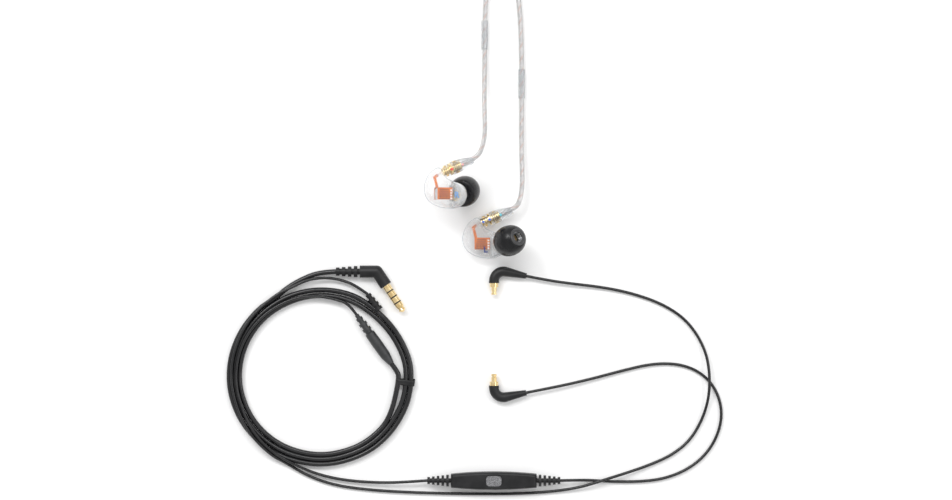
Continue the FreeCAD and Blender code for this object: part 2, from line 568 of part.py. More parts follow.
def make_phone_boot(name, tip, flip):
    """Bent boot on an earphone plug: collar, bend and a tapered tail for the cord."""
    nose_way = Vector(0, flip, 0)
    bend_start, bend_centre, tail_start, tail_way, _ = phone_boot_points(tip, flip)
    keep(turned(f"{name}_plug", "phone_mmcx"), f"{name}_mmcx", along(tip, nose_way * -1))
    collar = cylinder(f"{name}_collar", "boot_collar_radius", "boot_collar_length",
                      along(bend_start, nose_way))
    bend = doc.addObject("Part::Torus", f"{name}_bend")
    bind(bend, Radius1="boot_bend", Radius2="boot_radius", Angle3="boot_turn")
    bend.Placement = Placement(bend_centre, Rotation(UP, 180 if flip > 0 else 180 - SIZES["boot_turn"]))
    tail = cone(f"{name}_tail", "boot_radius", "boot_taper_end", "boot_taper_length",
                along(tail_start, tail_way))
    keep(joined(f"{name}_moulding", [collar, bend, tail]), f"{name}_boot")


def remote_half(name, side):
    """Half of the remote's body: a slim barrel, widest in the middle, split at its seam."""
    reach, end, middle = (SIZES[f"remote_{part}"] for part in ("half_length", "end_half", "middle_half"))
    body = doc.addObject("PartDesign::Body", name)
    sketch = sketch_on(body, "XY_Plane", f"{name}_outline")
    for edge in (-1, 1):
        sketch.addGeometry(Part.Arc(Vector(-reach, edge * end, 0), Vector(0, edge * middle, 0),
                                    Vector(reach, edge * end, 0)), False)
        sketch.addGeometry(Part.LineSegment(Vector(edge * reach, -end, 0), Vector(edge * reach, end, 0)), False)
    pad = body.newObject("PartDesign::Pad", f"{name}_pad")
    pad.Profile = sketch
    pad.setExpression("Length", "Dims.remote_half_height")
    pad.Reversed = side < 0
    doc.recompute()
    face_height = side * SIZES["remote_half_height"]
    rims = [f"Edge{number}" for number, edge in enumerate(pad.Shape.Edges, 1)
            if abs(edge.CenterOfMass.z - face_height) < 0.01]
    round_over = body.newObject("PartDesign::Fillet", f"{name}_round")
    round_over.Base = (pad, rims)
    round_over.setExpression("Radius", "Dims.remote_round")
    return body


def centred_block(name, length, width, height, low, middle=0):
    """A box centred on the remote's axis, or beside its middle, with its underside at a height."""
    corner = Vector(middle - SIZES[length] / 2, -SIZES[width] / 2, low)
    return block(name, length, width, height, Placement(corner, Rotation()))


def make_remote():
    """In-line remote: two mouldings, ribbed reliefs, the board, and a talk button in the upper moulding."""
    centre = Placement(REMOTE_CENTRE, Rotation())
    board_low = -SIZES["board_thick"]
    lower = remote_half("remote_lower_body", -1)
    recess = centred_block("remote_recess", "board_length", "board_width", "board_thick", board_low)
    keep(cut("remote_lower_cut", lower, recess), "remote_lower_shell", centre)

    board = centred_block("remote_board_slab", "board_length", "board_width", "board_thick", board_low)
    switch = centred_block("remote_switch", "switch_length", "switch_length", "switch_height", 0)
    keep(joined("remote_board_whole", [board, switch]), "remote_board", centre)

    upper = remote_half("remote_upper_body", 1)
    slot_floor = SIZES["slot_floor"]
    slot = rounded("remote_slot", centred_block("remote_slot_block", "slot_length", "slot_width", "slot_depth",
                                                slot_floor), "slot_round", upright)
    switch_space = centred_block("remote_switch_space", "switch_length", "switch_length", "slot_depth", 0)
    keep(cut("remote_upper_cut", upper, joined("remote_upper_spaces", [slot, switch_space])),
         "remote_upper_shell", centre)

    button = rounded("talk_button_round", centred_block("talk_button_block", "button_length", "button_width",
                                                        "button_height", slot_floor + 0.6),
                     "button_round", upright)
    keep(button, "talk_button", centre)

    reach = SIZES["remote_half_length"] + ribs_length("remote")
    pieces = ribs("remote_left", "remote", Vector(-reach, 0, 0), Vector(1, 0, 0))
    pieces += ribs("remote_right", "remote", Vector(reach, 0, 0), Vector(-1, 0, 0))
    keep(joined("remote_ribs", pieces), "remote_reliefs", centre)


def make_phone_cable():
    make_phone_plug()
    routes = {label: (diameter, list(points)) for label, (diameter, points) in PHONE_ROUTES.items()}
    routes["phone_plug_lead"][1].insert(0, tuple(phone_plug_points()[0]))
    for name, data in PHONE_BOOTS.items():
        make_phone_boot(f"phone_{name}", data["tip"], data["flip"])
        routes[f"phone_lead_{name}"][1].append(tuple(phone_boot_points(data["tip"], data["flip"])[-1]))
    for label, (diameter, points) in routes.items():
        tube(label, diameter, points)
    ring_of_turns("phone_coil", "phone_coil_inner", "phone_coil_outer", "phone_coil_height", PHONE_COIL_CENTRE)
    tie_round("phone_coil_tie", "phone_coil_inner", "phone_coil_outer", "phone_coil_height",
              PHONE_COIL_CENTRE, -2)
    keep(turned("phone_split", "split"), "phone_split", along(SPLIT_START, SPLIT_END - SPLIT_START))
    keep(turned("phone_branch_relief", "branch_relief"), "phone_branch_relief",
         along(RELIEF_START, RELIEF_END - RELIEF_START))
    make_remote()


def check_and_write():
    doc.recompute()
    for item in doc.Objects:
        if "Invalid" in item.State or "Error" in item.State:
            raise RuntimeError(f"{item.Name} failed: {item.State}")
    for node in nodes:
        if node.Shape.isNull() or not node.Shape.isValid():
            raise RuntimeError(f"{node.Label} has no valid shape")
    os.makedirs("parts", exist_ok=True)
    for node in nodes:
        node.Shape.exportStep(os.path.join("parts", f"{node.Label}.step"))
    print(len(nodes), "parts written")


add_cells()
for ear_name, ear_data in EARPHONES.items():
    make_earphone(ear_name, ear_data["facing"], ear_data["place"])
make_clear_cable()
make_phone_cable()
check_and_write()
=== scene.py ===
import math
import random

import bpy
from mathutils import Matrix, Vector


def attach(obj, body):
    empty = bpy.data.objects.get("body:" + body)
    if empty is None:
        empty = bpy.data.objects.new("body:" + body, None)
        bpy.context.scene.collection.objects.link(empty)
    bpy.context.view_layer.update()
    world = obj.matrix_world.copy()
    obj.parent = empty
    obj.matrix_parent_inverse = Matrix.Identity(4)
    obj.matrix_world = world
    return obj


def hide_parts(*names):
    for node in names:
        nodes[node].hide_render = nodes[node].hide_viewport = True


# The looks of a pair of clear in-ear monitors and their two cables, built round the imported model.
# Lengths are in millimetres in the tables below and in metres everywhere in Blender.

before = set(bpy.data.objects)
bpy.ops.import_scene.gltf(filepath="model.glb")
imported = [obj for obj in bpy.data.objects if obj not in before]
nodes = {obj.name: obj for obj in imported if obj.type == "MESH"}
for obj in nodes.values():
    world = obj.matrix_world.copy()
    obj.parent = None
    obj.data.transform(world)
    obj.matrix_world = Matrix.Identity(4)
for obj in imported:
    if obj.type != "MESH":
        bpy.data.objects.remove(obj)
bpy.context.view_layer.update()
MM = 0.001
random.seed(7)


# ---------------------------------------------------------------- materials

def shader(name, colour, roughness, **sockets):
    """A principled material with those sockets set; an underscore in a name stands for a space."""
    material = bpy.data.materials.new(name)
    material.use_nodes = True
    main = material.node_tree.nodes["Principled BSDF"]
    main.inputs["Base Color"].default_value = (*colour, 1)
    main.inputs["Roughness"].default_value = roughness
    for socket, value in sockets.items():
        main.inputs[socket.replace("_", " ")].default_value = value
    return material


def add_node(tree, kind, **settings):
    """A node with its sockets or its own settings filled in."""
    item = tree.nodes.new(kind)
    for name, value in settings.items():
        if name in item.inputs:
            item.inputs[name].default_value = value
        else:
            setattr(item, name, value)
    return item


def detail(material, colours, scale, roughness, bump, fine=0.0, stretch=(1, 1, 1)):
    """Colour drift, roughness drift and surface relief, all in the object's own metres."""
    tree = material.node_tree
    main = tree.nodes["Principled BSDF"]
    place = add_node(tree, "ShaderNodeTexCoord")
    mapping = add_node(tree, "ShaderNodeMapping")
    mapping.inputs["Scale"].default_value = stretch
    tree.links.new(place.outputs["Object"], mapping.inputs["Vector"])
    broad = add_node(tree, "ShaderNodeTexNoise", Scale=scale, Detail=5.0, Roughness=0.55)
    tree.links.new(mapping.outputs["Vector"], broad.inputs["Vector"])
    if colours:
        ramp = add_node(tree, "ShaderNodeValToRGB")
        ramp.color_ramp.elements[0].position = 0.32
        ramp.color_ramp.elements[1].position = 0.68
        ramp.color_ramp.elements[0].color = (*colours[0], 1)
        ramp.color_ramp.elements[1].color = (*colours[1], 1)
        tree.links.new(broad.outputs["Fac"], ramp.inputs["Fac"])
        tree.links.new(ramp.outputs["Color"], main.inputs["Base Color"])
    if roughness:
        spread = add_node(tree, "ShaderNodeMapRange")
        spread.inputs["To Min"].default_value = roughness[0]
        spread.inputs["To Max"].default_value = roughness[1]
        tree.links.new(broad.outputs["Fac"], spread.inputs["Value"])
        tree.links.new(spread.outputs["Result"], main.inputs["Roughness"])
    if bump:
        grain = add_node(tree, "ShaderNodeTexNoise", Scale=fine or scale * 6, Detail=3.0)
        tree.links.new(mapping.outputs["Vector"], grain.inputs["Vector"])
        relief = add_node(tree, "ShaderNodeBump", Strength=bump, Distance=0.0001)
        tree.links.new(grain.outputs["Fac"], relief.inputs["Height"])
        tree.links.new(relief.outputs["Normal"], main.inputs["Normal"])
    return material


def pitted(material, scale, strength, distance):
    """Adds small open cells, as cut foam has, on top of the grain."""
    tree = material.node_tree
    place = add_node(tree, "ShaderNodeTexCoord")
    cells = add_node(tree, "ShaderNodeTexVoronoi", Scale=scale)
    tree.links.new(place.outputs["Object"], cells.inputs["Vector"])
    relief = add_node(tree, "ShaderNodeBump", Strength=strength, Distance=distance)
    tree.links.new(cells.outputs["Distance"], relief.inputs["Height"])
    tree.links.new(relief.outputs["Normal"], tree.nodes["Principled BSDF"].inputs["Normal"])
    return material


def speckled(material, dark, light, scale):
    """Fine two-coloured speckle in place of the plain colour."""
    tree = material.node_tree
    place = add_node(tree, "ShaderNodeTexCoord")
    dots = add_node(tree, "ShaderNodeTexNoise", Scale=scale, Detail=2.0)
    ramp = add_node(tree, "ShaderNodeValToRGB")
    ramp.color_ramp.elements[0].position = 0.42
    ramp.color_ramp.elements[1].position = 0.58
    ramp.color_ramp.elements[0].color = (*dark, 1)
    ramp.color_ramp.elements[1].color = (*light, 1)
    tree.links.new(place.outputs["Object"], dots.inputs["Vector"])
    tree.links.new(dots.outputs["Fac"], ramp.inputs["Fac"])
    tree.links.new(ramp.outputs["Color"], tree.nodes["Principled BSDF"].inputs["Base Color"])
    return material


def cloudy_root(material, along, edges, alphas):
    """Alpha that rises across a line: the thick clear plastic at the nozzle's root looks milky."""
    tree = material.node_tree
    place = add_node(tree, "ShaderNodeTexCoord")
    distance = add_node(tree, "ShaderNodeVectorMath", operation="DOT_PRODUCT")
    distance.inputs[1].default_value = along
    ramp = add_node(tree, "ShaderNodeMapRange", interpolation_type="SMOOTHSTEP")
    for name, value in zip(("From Min", "From Max", "To Min", "To Max"), (*edges, *alphas)):
        ramp.inputs[name].default_value = value
    tree.links.new(place.outputs["Object"], distance.inputs[0])
    tree.links.new(distance.outputs["Value"], ramp.inputs["Value"])
    tree.links.new(ramp.outputs["Result"], tree.nodes["Principled BSDF"].inputs["Alpha"])
    return material


# Each earphone's frame in the model: x along the housing, z across the seam.
PLACES = {
    "right": Matrix.Translation(Vector((-12.75, 5.9, 19.9)) * MM) @ Matrix.Rotation(math.radians(15), 4, "Y"),
    "left": Matrix.Translation(Vector((4.35, -15.95, 4.8)) * MM),
}
ROOT_START, ROOT_FULL, SHELL_ALPHA, ROOT_ALPHA = 2.2, 4.4, 0.13, 0.85
clear_shells = {}
for ear, place in PLACES.items():
    along = place.to_3x3() @ Vector((1, 0, 0))
    offset = along.dot(place.translation)
    clear_shells[ear] = cloudy_root(
        detail(shader(f"clear_shell_{ear}", (0.95, 0.97, 0.99), 0.03, IOR=1.49, Transmission_Weight=0.72),
               ((0.92, 0.95, 0.98), (0.98, 0.985, 0.99)), 120, (0.02, 0.06), 0.05, 900),
        along, (offset + ROOT_START * MM, offset + ROOT_FULL * MM), (SHELL_ALPHA, ROOT_ALPHA))
clear_soft = detail(
    shader("clear_soft", (0.84, 0.88, 0.90), 0.2, IOR=1.45, Transmission_Weight=0.9, Alpha=0.5),
    ((0.76, 0.81, 0.84), (0.90, 0.92, 0.94)), 200, (0.14, 0.3), 0.12, 1800)
clear_jacket = detail(
    shader("clear_jacket", (0.80, 0.80, 0.79), 0.2, IOR=1.45, Transmission_Weight=0.6, Alpha=0.5),
    ((0.72, 0.72, 0.71), (0.86, 0.86, 0.85)), 160, (0.12, 0.28), 0.1, 1500)
# The seam bead's darker bluish grey is partly the glue line and partly painted shade standing in for the clear
# shell's dark refracted edges.
seam_glue_and_edge_shade = detail(
    shader("seam_glue_and_edge_shade", (0.50, 0.56, 0.63), 0.12, IOR=1.5, Transmission_Weight=0.5, Alpha=0.6),
    ((0.44, 0.50, 0.58), (0.62, 0.67, 0.73)), 240, (0.08, 0.2), 0.1, 1800)
# Near-black brownish gold for the jack's slots and the collar's grooves: painted shade for the inside of those
# recesses, laid on as slabs and rings.
painted_slot_shade = detail(shader("painted_slot_shade", (0.10, 0.07, 0.03), 0.5, Metallic=0.4),
                   ((0.06, 0.04, 0.02), (0.16, 0.11, 0.05)), 900, (0.4, 0.6), 0.15, 4000)
silver_wire = detail(shader("silver_wire", (0.62, 0.62, 0.63), 0.3, Metallic=0.9),
                     ((0.50, 0.50, 0.52), (0.78, 0.76, 0.76)), 500, (0.22, 0.42), 0.2, 3000)
copper_wire = detail(shader("copper_wire", (0.66, 0.52, 0.49), 0.34, Metallic=0.8),
                     ((0.56, 0.42, 0.39), (0.74, 0.62, 0.59)), 500, (0.26, 0.44), 0.2, 3000)
gold = detail(shader("gold", (0.90, 0.68, 0.34), 0.22, Metallic=1.0),
              ((0.80, 0.56, 0.24), (0.96, 0.79, 0.47)), 420, (0.14, 0.34), 0.15, 2600)
can_metal = detail(shader("can_metal", (0.55, 0.56, 0.58), 0.3, Metallic=0.95),
                   ((0.36, 0.37, 0.39), (0.66, 0.67, 0.69)), 300, (0.2, 0.42), 0.15, 2400, (1, 6, 1))
flex_film = detail(shader("flex_film", (0.60, 0.13, 0.004), 0.45),
                   ((0.50, 0.09, 0.002), (0.70, 0.18, 0.008)), 380, (0.3, 0.5), 0.2, 2400)
trace_brown = detail(shader("trace_brown", (0.12, 0.025, 0.006), 0.42),
                     ((0.08, 0.015, 0.004), (0.17, 0.04, 0.01)), 900, (0.34, 0.5), 0.2, 4000)
pad_metal = detail(shader("pad_metal", (0.86, 0.83, 0.78), 0.4, Metallic=0.25),
                   ((0.78, 0.74, 0.68), (0.92, 0.90, 0.87)), 700, (0.3, 0.5), 0.25, 4000)
brass = detail(shader("brass", (0.72, 0.53, 0.26), 0.26, Metallic=1.0),
               ((0.60, 0.42, 0.18), (0.80, 0.61, 0.33)), 360, (0.18, 0.36), 0.12, 2600)
mesh_metal = pitted(shader("mesh_metal", (0.30, 0.28, 0.25), 0.4, Metallic=0.9), 3600, 0.9, 0.0001)
foam_black = pitted(
    detail(shader("foam_black", (0.008, 0.008, 0.009), 0.3, Specular_IOR_Level=0.32),
           ((0.003, 0.003, 0.004), (0.009, 0.009, 0.010)), 260, (0.2, 0.34), 0),
    2100, 0.3, 0.00006)
core_grey = detail(shader("core_grey", (0.04, 0.04, 0.043), 0.4),
                   ((0.028, 0.028, 0.03), (0.06, 0.06, 0.063)), 380, (0.3, 0.48), 0.2, 2600)
cord_black = detail(shader("cord_black", (0.008, 0.008, 0.009), 0.26, Specular_IOR_Level=0.5),
                    ((0.004, 0.004, 0.005), (0.013, 0.013, 0.014)), 140, (0.2, 0.3), 0.1, 2000)
moulding_black = detail(shader("moulding_black", (0.009, 0.009, 0.010), 0.4, Specular_IOR_Level=0.35),
                        ((0.005, 0.005, 0.006), (0.015, 0.015, 0.016)), 220, (0.32, 0.52), 0.28, 3200)
moulding_grey = detail(shader("moulding_grey", (0.024, 0.025, 0.027), 0.42),
                       ((0.016, 0.017, 0.018), (0.036, 0.037, 0.040)), 220, (0.34, 0.54), 0.25, 3000)
key_grey = speckled(
    detail(shader("key_grey", (0.30, 0.30, 0.31), 0.55), None, 300, (0.45, 0.65), 0.35, 3400),
    (0.06, 0.06, 0.065), (0.27, 0.27, 0.28), 3400)
board_green = detail(shader("board_green", (0.03, 0.18, 0.08), 0.4, Coat_Weight=0.4),
                     ((0.02, 0.13, 0.05), (0.05, 0.24, 0.11)), 400, (0.3, 0.5), 0.2, 2600)
MARKS = {
    "red": detail(shader("mark_red", (0.75, 0.05, 0.04), 0.35, Coat_Weight=0.5),
                  ((0.62, 0.03, 0.03), (0.86, 0.09, 0.07)), 900, (0.28, 0.44), 0.1, 4000),
    "pink": detail(shader("mark_pink", (0.86, 0.42, 0.40), 0.4, Coat_Weight=0.3),
                   ((0.80, 0.34, 0.33), (0.92, 0.52, 0.49)), 900, (0.3, 0.5), 0.1, 4000),
    "blue": detail(shader("mark_blue", (0.04, 0.14, 0.62), 0.35, Coat_Weight=0.5),
                   ((0.02, 0.09, 0.50), (0.07, 0.21, 0.76)), 900, (0.28, 0.44), 0.1, 4000),
    "teal": detail(shader("mark_teal", (0.10, 0.48, 0.56), 0.4, Coat_Weight=0.3),
                   ((0.07, 0.40, 0.48), (0.16, 0.58, 0.66)), 900, (0.3, 0.5), 0.1, 4000),
}
PRINTS = {
    "right": detail(shader("print_pale", (0.16, 0.32, 0.60), 0.45),
                    ((0.12, 0.27, 0.54), (0.22, 0.38, 0.66)), 1200, (0.38, 0.52), 0.1, 4000),
    "left": detail(shader("print_navy", (0.02, 0.04, 0.20), 0.45),
                   ((0.01, 0.03, 0.15), (0.04, 0.07, 0.27)), 1200, (0.38, 0.52), 0.1, 4000),
}

NODE_MATERIALS = {
    "woofer": can_metal, "tweeter": can_metal,
    "flex_circuit": flex_film, "snap_ring": gold, "mmcx_jack": gold, "plug_pin": gold, "mmcx_plug": gold,
    "boot": clear_soft, "nozzle": brass, "wax_screen": mesh_metal, "sleeve_core": core_grey,
    "end_sleeve": clear_soft,
}
LOOSE_MATERIALS = {
    "cinch_slider": clear_soft, "clear_splitter": clear_soft, "clear_plug_body": moulding_black,
    "clear_plug_contacts": gold, "phone_plug_body": moulding_black, "phone_plug_contacts": gold,
    "phone_upper_mmcx": gold, "phone_lower_mmcx": gold, "phone_upper_boot": moulding_black,
    "phone_lower_boot": moulding_black, "phone_split": moulding_grey, "phone_branch_relief": moulding_black,
    "remote_lower_shell": moulding_black, "remote_upper_shell": moulding_black, "remote_board": board_green,
    "talk_button": key_grey, "remote_reliefs": moulding_black,
}


def paint(node, material):
    """Gives a CAD node one material."""
    node.data.materials.clear()
    node.data.materials.append(material)


for ear in ("right", "left"):
    for part in ("outer_shell", "inner_shell"):
        paint(nodes[f"{ear}_{part}"], clear_shells[ear])
    for part, material in NODE_MATERIALS.items():
        paint(nodes[f"{ear}_{part}"], material)
for name, material in LOOSE_MATERIALS.items():
    paint(nodes[name], material)


# ---------------------------------------------------------------- mesh helpers

def add_object(name, data, material, body):
    """Links mesh or curve data as an object that rides on a body."""
    item = bpy.data.objects.new(name, data)
    bpy.context.scene.collection.objects.link(item)
    data.materials.append(material)
    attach(item, body)
    return item


def add_mesh(name, points, faces, material, body, smooth=True):
    data = bpy.data.meshes.new(name)
    data.from_pydata([tuple(p) for p in points], [], faces)
    for face in data.polygons:
        face.use_smooth = smooth
    data.update()
    return add_object(name, data, material, body)


def lathe(profile, steps, place, closed=False):
    """Turns (radius, height) corners about local z. A closed profile makes a ring."""
    points, faces = [], []
    for number in range(steps):
        turn = 2 * math.pi * number / steps
        for radius, height in profile:
            local = Vector((radius * math.cos(turn), radius * math.sin(turn), height)) * MM
            points.append(place @ local)
    count = len(profile)
    last = count if closed else count - 1
    for number in range(steps):
        after = (number + 1) % steps
        for k in range(last):
            up = (k + 1) % count
            faces.append((number * count + k, after * count + k, after * count + up, number * count + up))
    return points, faces


def rounded_profile(corners, cuts=3):
    """Corner cutting: a soft line through a coarse closed profile."""
    for _ in range(cuts):
        softer = []
        for here, after in zip(corners, corners[1:] + corners[:1]):
            softer.append((0.75 * here[0] + 0.25 * after[0], 0.75 * here[1] + 0.25 * after[1]))
            softer.append((0.25 * here[0] + 0.75 * after[0], 0.25 * here[1] + 0.75 * after[1]))
        corners = softer
    return corners


def frame_along(start, direction):
    """Local z along a direction, from a point in millimetres."""
    turn = Vector((0, 0, 1)).rotation_difference(Vector(direction).normalized())
    return Matrix.Translation(Vector(start) * MM) @ turn.to_matrix().to_4x4()


def sweep(lines, radius, sides):
    """Round tubes along lines of points, without twisting."""
    points, faces = [], []
    for line in lines:
        side = None
        base = len(points)
        for number, here in enumerate(line):
            before, after = line[max(number - 1, 0)], line[min(number + 1, len(line) - 1)]
            ahead = (after - before).normalized()
            if side is None:
                side = ahead.orthogonal().normalized()
            side = (side - ahead * side.dot(ahead)).normalized()
            other = ahead.cross(side)
            for k in range(sides):
                turn = 2 * math.pi * k / sides
                points.append(here + (side * math.cos(turn) + other * math.sin(turn)) * radius)
        for number in range(len(line) - 1):
            for k in range(sides):
                low, next_k = base + number * sides, (k + 1) % sides
                faces.append((low + k, low + next_k, low + sides + next_k, low + sides + k))
        end = base + (len(line) - 1) * sides
        faces.append(tuple(base + k for k in reversed(range(sides))))
        faces.append(tuple(end + k for k in range(sides)))
    return points, faces


# ---------------------------------------------------------------- cords

def make_cord(name, points, diameter, material, body):
    """A round cord as a smooth curve, from control points in millimetres."""
    data = bpy.data.curves.new(name, "CURVE")
    data.dimensions = "3D"
    spline = data.splines.new("NURBS")
    spline.points.add(len(points) - 1)
    for point, place in zip(spline.points, points):
        point.co = (*(Vector(place) * MM), 1)
    spline.order_u = 3
    spline.use_endpoint_u = True
    spline.resolution_u = 8
    data.bevel_depth = diameter * MM / 2
    data.bevel_resolution = 5
    data.use_fill_caps = True
    return add_object(name, data, material, body)


def read_line(cord, spacing):
    """The cord's centreline as points at even steps, in metres."""
    plain = cord.data.copy()
    plain.bevel_depth = 0
    holder = bpy.data.objects.new("line_reader", plain)
    bpy.context.scene.collection.objects.link(holder)
    bpy.context.view_layer.update()
    made = bpy.data.meshes.new_from_object(holder)
    raw = [v.co.copy() for v in made.vertices]
    bpy.data.objects.remove(holder)
    bpy.data.meshes.remove(made)
    bpy.data.curves.remove(plain)
    even, left = [raw[0]], spacing
    for here, after in zip(raw, raw[1:]):
        run = (after - here).length
        while run > 0 and left <= run:
            even.append(here.lerp(after, left / run))
            left += spacing
        left -= run
    return even


def twisted(line, offset, pitch, count, first=0):
    """Wires laid round a centreline, each a helix of that pitch."""
    wires = [[] for _ in range(count)]
    side, run = None, 0.0
    for number, here in enumerate(line):
        before, after = line[max(number - 1, 0)], line[min(number + 1, len(line) - 1)]
        ahead = (after - before).normalized()
        if side is None:
            side = ahead.orthogonal().normalized()
        side = (side - ahead * side.dot(ahead)).normalized()
        other = ahead.cross(side)
        if number:
            run += (here - line[number - 1]).length
        for k, wire in enumerate(wires):
            turn = 2 * math.pi * (run / pitch + (k + first) / count)
            wire.append(here + (side * math.cos(turn) + other * math.sin(turn)) * offset)
    return wires


# The laid wires, in metres: their distance from the centreline, their radius, one turn, and the step drawn.
CORE_OFFSET, CORE_RADIUS, CORE_PITCH, CORE_STEP = 0.00046, 0.00040, 0.0056, 0.0005


def add_core(name, cord, scale, body, step=CORE_STEP):
    """Four laid wires inside a clear jacket: three silver and one copper-pink."""
    line = read_line(cord, step)
    wires = twisted(line, CORE_OFFSET * scale, CORE_PITCH, 4)
    points, faces = sweep(wires[:3], CORE_RADIUS * scale, 6)
    add_mesh(f"{name}_silver_wires", points, faces, silver_wire, body)
    points, faces = sweep(wires[3:], CORE_RADIUS * scale, 6)
    add_mesh(f"{name}_copper_wire", points, faces, copper_wire, body)


def coil_points(centre, stations, per_turn):
    """Control points of a wound cord: stations are (angle in degrees, radius, height)."""
    spread = 1 / (0.75 + 0.25 * math.cos(2 * math.pi / per_turn))
    points = []
    for (a0, r0, z0), (a1, r1, z1) in zip(stations, stations[1:]):
        steps = max(1, round(abs(a1 - a0) / 360 * per_turn))
        for k in range(steps):
            share = k / steps
            smooth = share * share * (3 - 2 * share)
            angle = math.radians(a0 + (a1 - a0) * share)
            radius = (r0 + (r1 - r0) * smooth) * spread
            points.append((centre[0] + radius * math.cos(angle), centre[1] + radius * math.sin(angle),
                           z0 + (z1 - z0) * smooth))
    return points


FACING = {"right": -1, "left": 1}
JACK_START = Vector((-1.7, 9.5, 0))
CONNECTOR_TURN = 22
CONNECTOR = Vector((math.cos(math.radians(CONNECTOR_TURN)), math.sin(math.radians(CONNECTOR_TURN)), 0))


def ear_point(ear, local):
    """A point in an earphone's own millimetres, as millimetres in the model."""
    return (PLACES[ear] @ (Vector(local) * MM)) / MM


def ear_direction(ear, local):
    return PLACES[ear].to_3x3() @ Vector(local)


def on_connector(ear, distance):
    """A point on the connector's axis, as millimetres in the model."""
    return ear_point(ear, JACK_START + CONNECTOR * distance)


# Cord diameters in millimetres; cord lengths in metres.
LEAD_DIAMETER, TRUNK_DIAMETER = 2.2, 2.6
BRANCH_DIAMETER, PHONE_TRUNK_DIAMETER = 1.3, 2.25
LEAD_ROUTES = {
    "right": [(3.4, 26.6, 14.7), (4.6, 34.0, 11.4), (4.2, 44.0, 7.0), (4.2, 55.0, 2.9), (4.4, 66.0, 1.45),
              (4.4, 88.0, 1.45), (5.6, 99.0, 1.5), (8.8, 108.5, 1.8), (11.2, 117.0, 2.0), (11.2, 141.0, 2.0)],
    "left": [(20.3, 4.4, 4.7), (21.2, 11.6, 4.2), (20.7, 25.0, 2.7), (20.8, 42.0, 1.45), (20.8, 66.0, 1.45),
             (20.3, 84.0, 1.45), (19.0, 97.0, 1.6), (16.6, 108.0, 1.8), (14.2, 117.0, 2.0), (14.2, 141.0, 2.0)],
}
# Distances along the connector, in millimetres: the lead's first two control points and the boot's end.
LEAD_STARTS, BOOT_END = (8.95, 16.8), 14.8

for ear, route in LEAD_ROUTES.items():
    starts = [tuple(on_connector(ear, distance)) for distance in LEAD_STARTS]
    lead = make_cord(f"{ear}_lead_jacket", starts + route, LEAD_DIAMETER, clear_jacket, "clear_cable")
    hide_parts(f"{ear}_lead")
    add_core(f"{ear}_lead", lead, 1.0, "clear_cable")

CLEAR_COIL_CENTRE = (-5.4, 192.0)
# The trunk goes in at the outside, fills the ring in layers from the bottom, and comes out at the outside.
OUTER, INNER = 18.0, 10.4
LAYER_HEIGHTS = (2.15, 4.75, 7.35, 8.6)
LAYER_TURNS = 3.75 * 360
CLEAR_PER_TURN, PHONE_PER_TURN = 14, 18
TRUNK_EXIT = (12.7, 157.0, 2.5)
stations, angle = [(0, OUTER, LAYER_HEIGHTS[0])], 0.0
for number, height in enumerate(LAYER_HEIGHTS[:3]):
    ends = (OUTER, INNER) if number % 2 == 0 else (INNER, OUTER)
    if number:
        angle += 60
        stations.append((angle, ends[0], height))
    for k in range(1, 5):
        angle += LAYER_TURNS / 4 - (15 if number else 0)
        stations.append((angle, ends[0] + (ends[1] - ends[0]) * k / 4, height))
last_turn = math.ceil((angle - 180) / 360) * 360 + 180
stations += [(angle + 0.4 * (last_turn - angle), 0.5 * (OUTER + INNER), LAYER_HEIGHTS[3]),
             (last_turn, OUTER, 7.4)]
trunk_points = [TRUNK_EXIT, (12.7, 163.0, 2.5), (12.4, 171.0, 2.2), (12.4, 179.0, 2.1), (12.7, 187.0, 2.1)]
trunk_points += coil_points(CLEAR_COIL_CENTRE, stations, CLEAR_PER_TURN)
trunk_points += [(-23.5, 187.0, 6.5), (-23.4, 181.0, 5.0), (-23.5, 175.0, 3.7), (-23.5, 168.0, 3.7)]
trunk = make_cord("clear_trunk_jacket", trunk_points, TRUNK_DIAMETER, clear_jacket, "clear_cable")
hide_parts("clear_trunk", "clear_coil", "clear_plug_lead")

PHONE_COIL_CENTRE = (-69.4, -74.5)
PLUG_END = (-61.67, -28.10, 2.7)
SPLIT_START, SPLIT_END = (-52.6, -47.3, 2.4), (-36.7, -69.6, 2.4)
PLUG_LEAD = [PLUG_END, (-68.5, -28.4, 1.9), (-75.3, -30.7, 1.3), (-82.9, -34.8, 1.3), (-89.2, -40.2, 1.6)]
ARC = [(-47.6, -38.2, 2.0), (-52.9, -34.3, 2.0), (-59.2, -31.8, 2.2), (-66.3, -30.7, 2.6), (-74.4, -31.6, 3.0),
       (-81.6, -35.2, 3.4)]
REMOTE_LEAD = [
    (-80.0, -114.0, 3.0), (-70.8, -118.0, 1.6), (-60.6, -120.5, 1.3), (-50.5, -121.6, 1.6),
    (-40.0, -122.0, 2.2), (-30.4, -121.6, 2.9), (-21.1, -120.9, 3.3)]
UPPER_LEAD = [
    (-84.0, -113.2, 1.4), (-74.0, -119.3, 0.7), (-62.0, -123.3, 0.7), (-48.0, -125.2, 0.7),
    (-33.0, -126.2, 0.8), (-16.0, -126.8, 0.7), (2.0, -127.1, 0.8), (20.0, -127.0, 0.7),
    (36.0, -125.9, 0.8), (47.9, -123.8, 2.0), (57.5, -120.6, 3.3), (67.5, -117.6, 2.0), (77.5, -114.3, 0.9),
    (87.5, -109.9, 0.8), (95.5, -103.6, 0.7), (100.7, -95.0, 0.8), (103.4, -87.0, 1.6),
    (104.3, -80.0, 2.9), (104.2, -72.3, 2.9), (102.9, -64.6, 1.6), (99.4, -56.9, 0.8), (94.2, -50.0, 0.8),
    (87.2, -44.7, 0.8), (78.6, -40.6, 0.7), (67.6, -37.2, 0.8), (56.2, -35.0, 1.2), (44.2, -33.6, 1.8),
    (32.8, -32.1, 2.3), (22.87, -30.07, 2.3)]
